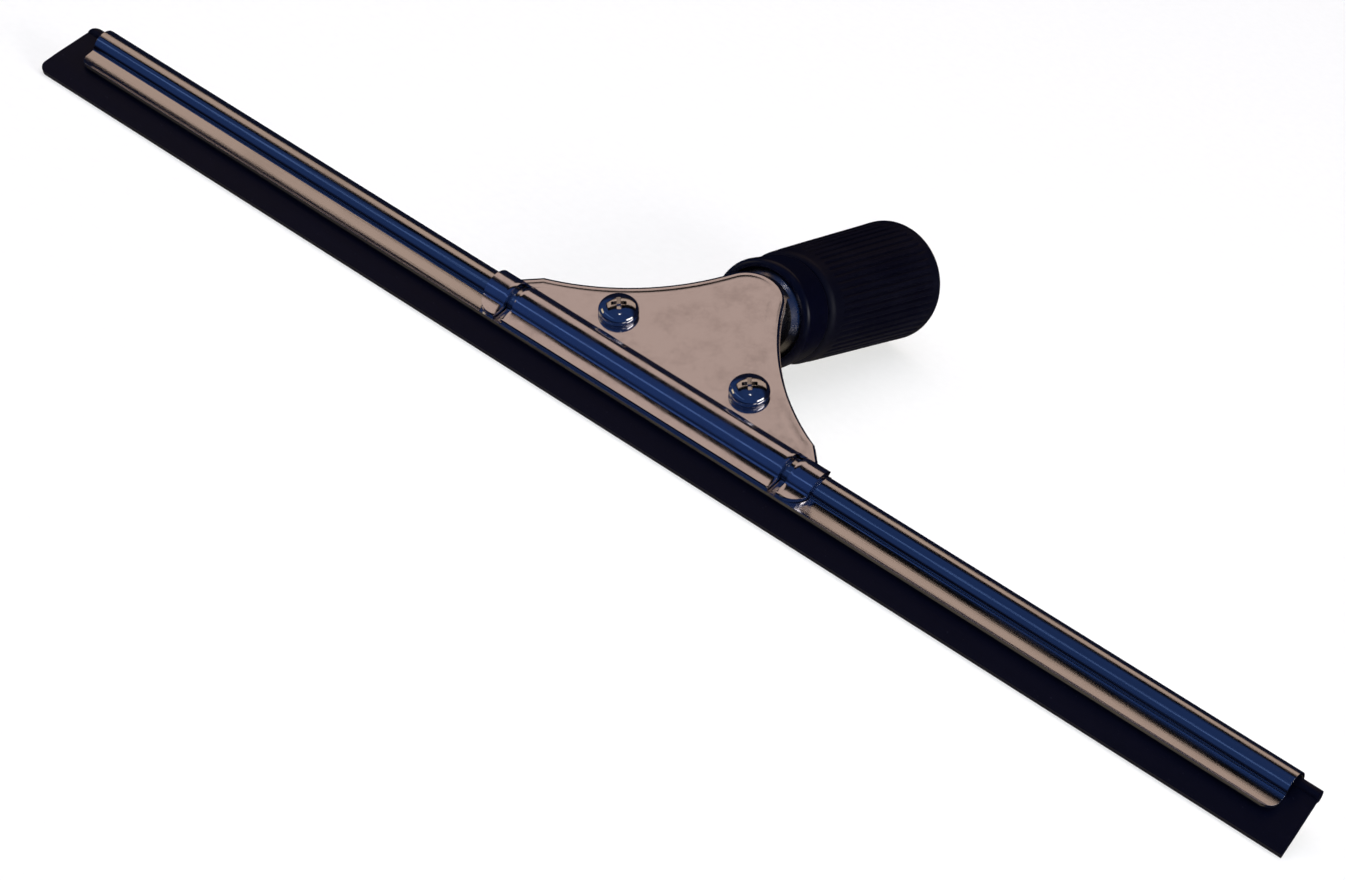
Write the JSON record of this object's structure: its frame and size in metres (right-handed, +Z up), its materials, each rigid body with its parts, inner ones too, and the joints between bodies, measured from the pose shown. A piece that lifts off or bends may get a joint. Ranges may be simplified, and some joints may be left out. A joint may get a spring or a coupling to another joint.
{
  "type": "window squeegee",
  "caption": "Window cleaning squeegee: rubber blade in a folded steel channel, held by a two-screw clamp plate on an angled tubular handle with a ribbed black grip.",
  "frame": {"origin": "centre of the underside of the box round the tool as it lies on its wiping edge and the rim of its grip", "axes": "+X along the blade to the right as seen from the wiping edge with the screws up, +Y from the wiping edge to the grip, +Z up"},
  "size_m": [0.365, 0.1124, 0.0323],
  "materials": {
    "blade_rubber": "smooth dark rubber, cut edges",
    "channel_steel": "bright rolled stainless sheet with fine lengthwise grain",
    "plate_steel": "polished pressed stainless sheet with soft press marks",
    "screw_steel": "bright polished steel",
    "collar_plastic": "smooth satin black",
    "grip_rubber": "black rubber with fine lengthwise ribs"
  },
  "bodies": {
    "handle": {"lower_clamp_plate": "plate_steel", "handle_tube": "plate_steel", "grip_collar": "collar_plastic", "grip_sleeve": "grip_rubber", "left_weld_nut": "screw_steel", "right_weld_nut": "screw_steel"},
    "clamp": {"upper_clamp_plate": "plate_steel"},
    "left_screw": {"left_clamp_screw": "screw_steel"},
    "right_screw": {"right_clamp_screw": "screw_steel"},
    "channel": {"blade_channel": "channel_steel"},
    "rubber": {"rubber_blade": "blade_rubber"}
  },
  "joints": [
    {"name": "clamp_lift", "type": "slide", "parent": "handle", "child": "clamp", "axis": [0, -0.428, 0.9038], "range_m": [0, 0.002]},
    {"name": "left_screw_turn", "type": "hinge", "parent": "clamp", "child": "left_screw", "pos_m": [-0.01895, -0.03525, 0.0165], "axis": [0, -0.428, 0.9038], "range_deg": [0, 905]},
    {"name": "right_screw_turn", "type": "hinge", "parent": "clamp", "child": "right_screw", "pos_m": [0.01965, -0.03525, 0.0165], "axis": [0, -0.428, 0.9038], "range_deg": [0, 905]},
    {"name": "channel_slide", "type": "slide", "parent": "handle", "child": "channel", "axis": [1, 0, 0], "range_m": [-0.12, 0.12]},
    {"name": "rubber_slide", "type": "slide", "parent": "channel", "child": "rubber", "axis": [1, 0, 0], "range_m": [-0.15, 0.15]}
  ],
  "couplings": [
    {"joint": "left_screw_turn", "follows": "clamp_lift", "rad_per_m": 7854},
    {"joint": "right_screw_turn", "follows": "clamp_lift", "rad_per_m": 7854}
  ]
}
